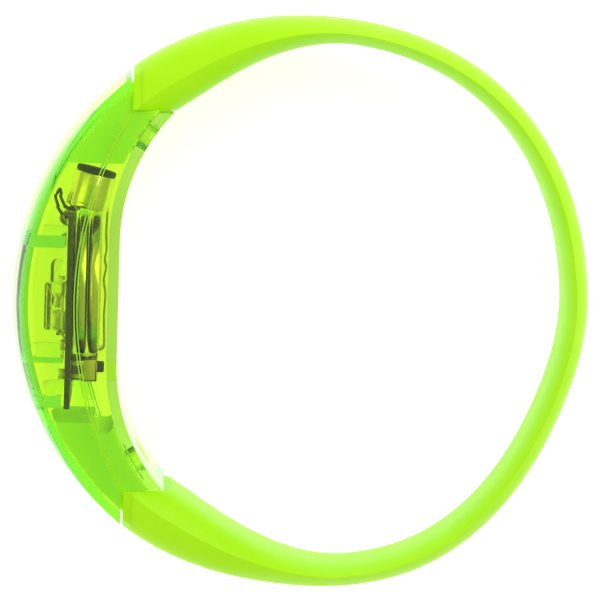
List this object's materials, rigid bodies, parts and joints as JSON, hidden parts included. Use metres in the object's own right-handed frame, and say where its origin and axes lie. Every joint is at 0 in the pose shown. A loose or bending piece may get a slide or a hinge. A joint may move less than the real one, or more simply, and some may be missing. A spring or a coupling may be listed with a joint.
{
  "type": "light-up wristband",
  "caption": "Silicone wristband closed by a clear case that holds a circuit board, coin cells, a microphone, lights and a slide switch.",
  "frame": {"origin": "middle of the underside, on the ring's axis, where the band lies on its side", "axes": "+Z along the ring's axis, across the band; -X towards the case and +X towards the thin back of the strap; +Y towards the microphone's end of the case"},
  "size_m": [0.081, 0.0802, 0.026],
  "materials": {
    "outer_cover": "clear green tint, polished",
    "inner_cover": "clear green tint, polished",
    "strap": "satin lime silicone",
    "circuit_board": "brown laminate with a dark solder mask",
    "outer_cell": "brushed",
    "inner_cell": "brushed",
    "battery_clip": "nickel plated sheet",
    "microphone_can": "drawn can",
    "microphone_felt": "black felt",
    "microphone_wire_1": "insulated wire",
    "microphone_wire_2": "insulated wire",
    "block_led_lens": "clear epoxy",
    "block_led_frame": "tinned lead frame",
    "tube_led_lens": "clear epoxy",
    "tube_led_frame": "tinned lead frame",
    "control_chip": "black epoxy",
    "centre_resistor": "black chip part",
    "lower_resistor_1": "black chip part",
    "lower_resistor_2": "black chip part",
    "capacitor": "tan ceramic chip",
    "switch_body": "plated switch shell",
    "switch_knob": "black plastic",
    "upper_screw": "zinc plated",
    "lower_screw": "zinc plated"
  },
  "bodies": {
    "wristband": {"outer_cover": "outer_cover", "inner_cover": "inner_cover", "strap": "strap", "circuit_board": "circuit_board", "outer_cell": "outer_cell", "inner_cell": "inner_cell", "battery_clip": "battery_clip", "microphone_can": "microphone_can", "microphone_felt": "microphone_felt", "microphone_wire_1": "microphone_wire_1", "microphone_wire_2": "microphone_wire_2", "block_led_lens": "block_led_lens", "block_led_frame": "block_led_frame", "tube_led_lens": "tube_led_lens", "tube_led_frame": "tube_led_frame", "control_chip": "control_chip", "centre_resistor": "centre_resistor", "lower_resistor_1": "lower_resistor_1", "lower_resistor_2": "lower_resistor_2", "capacitor": "capacitor", "switch_body": "switch_body", "upper_screw": "upper_screw", "lower_screw": "lower_screw"},
    "knob": {"switch_knob": "switch_knob"}
  },
  "joints": [
    {"name": "switch_slide", "type": "slide", "parent": "wristband", "child": "knob", "axis": [0, 0, 1], "range_m": [0, 0.002]}
  ]
}
